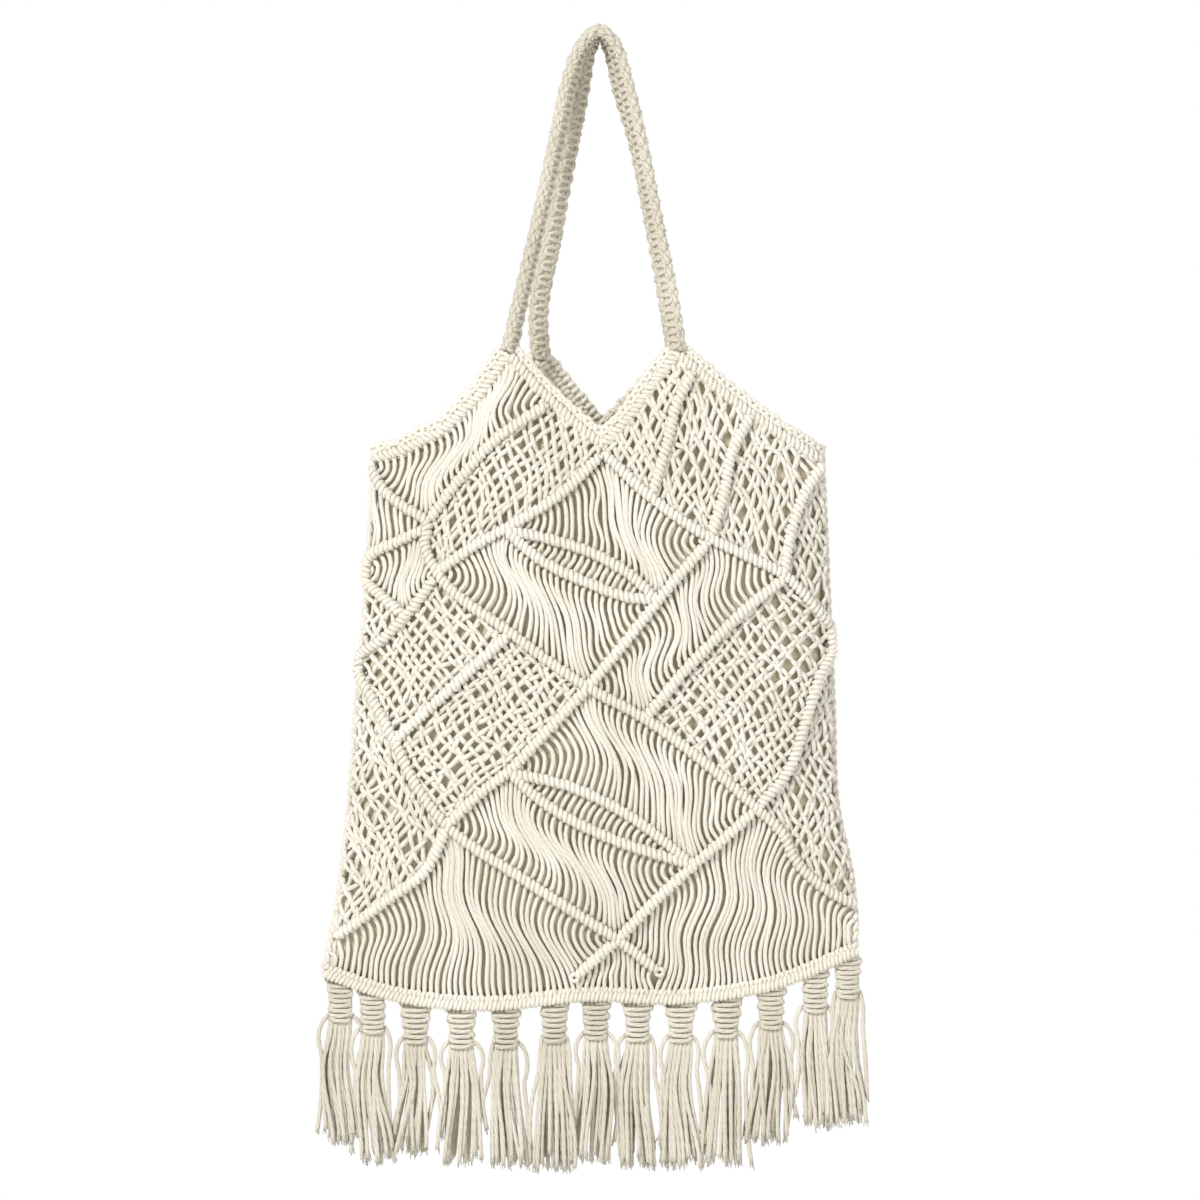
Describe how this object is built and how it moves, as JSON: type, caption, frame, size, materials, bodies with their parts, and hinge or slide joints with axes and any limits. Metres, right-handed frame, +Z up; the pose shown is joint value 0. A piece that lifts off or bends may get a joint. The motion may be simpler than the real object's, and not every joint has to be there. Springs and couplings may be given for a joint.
{
  "type": "macrame bag",
  "caption": "Knotted cotton-cord tote bag with a V-notched mouth, diagonal knotted bars, open net, lining, strap handles and a tasselled hem, hanging from a peg.",
  "frame": {"origin": "the point under the two handles where they lie on the peg that the bag hangs from", "axes": "+Z up, +X to the right seen from the front, +Y from the front to the back"},
  "size_m": [0.4004, 0.1042, 0.844],
  "materials": {
    "cotton_cord": "twisted cotton",
    "knotted_bar": "knotted cotton",
    "fringe": "combed cotton",
    "lining_cloth": "plain weave"
  },
  "bodies": {
    "root": {"front_panel": "cotton_cord", "front_rim": "knotted_bar", "front_hem": "knotted_bar", "front_handle": "cotton_cord", "back_panel": "cotton_cord", "back_rim": "knotted_bar", "back_hem": "knotted_bar", "back_handle": "cotton_cord", "front_long_diagonal": "knotted_bar", "front_notch_diagonal": "knotted_bar", "front_left_zigzag": "knotted_bar", "front_shoulder": "knotted_bar", "front_side_chevron": "knotted_bar", "front_notch_left": "knotted_bar", "front_upper_leaf": "knotted_bar", "front_cross_lower": "knotted_bar", "front_cross_upper": "knotted_bar", "front_right_cross": "knotted_bar", "front_strip_inner": "knotted_bar", "front_strip_middle": "knotted_bar", "front_strip_outer": "knotted_bar", "front_left_cross": "knotted_bar", "front_lower_leaf": "knotted_bar", "front_hem_cross_lower": "knotted_bar", "front_hem_cross_upper": "knotted_bar", "front_hem_left": "knotted_bar", "back_long_diagonal": "knotted_bar", "back_notch_diagonal": "knotted_bar", "back_left_zigzag": "knotted_bar", "back_shoulder": "knotted_bar", "back_side_chevron": "knotted_bar", "back_notch_left": "knotted_bar", "back_upper_leaf": "knotted_bar", "back_cross_lower": "knotted_bar", "back_cross_upper": "knotted_bar", "back_right_cross": "knotted_bar", "back_strip_inner": "knotted_bar", "back_strip_middle": "knotted_bar", "back_strip_outer": "knotted_bar", "back_left_cross": "knotted_bar", "back_lower_leaf": "knotted_bar", "back_hem_cross_lower": "knotted_bar", "back_hem_cross_upper": "knotted_bar", "back_hem_left": "knotted_bar", "lining": "lining_cloth", "tassel_01": "fringe", "tassel_02": "fringe", "tassel_03": "fringe", "tassel_04": "fringe", "tassel_05": "fringe", "tassel_06": "fringe", "tassel_07": "fringe", "tassel_08": "fringe", "tassel_09": "fringe", "tassel_10": "fringe", "tassel_11": "fringe", "tassel_12": "fringe", "tassel_13": "fringe"}
  },
  "joints": []
}
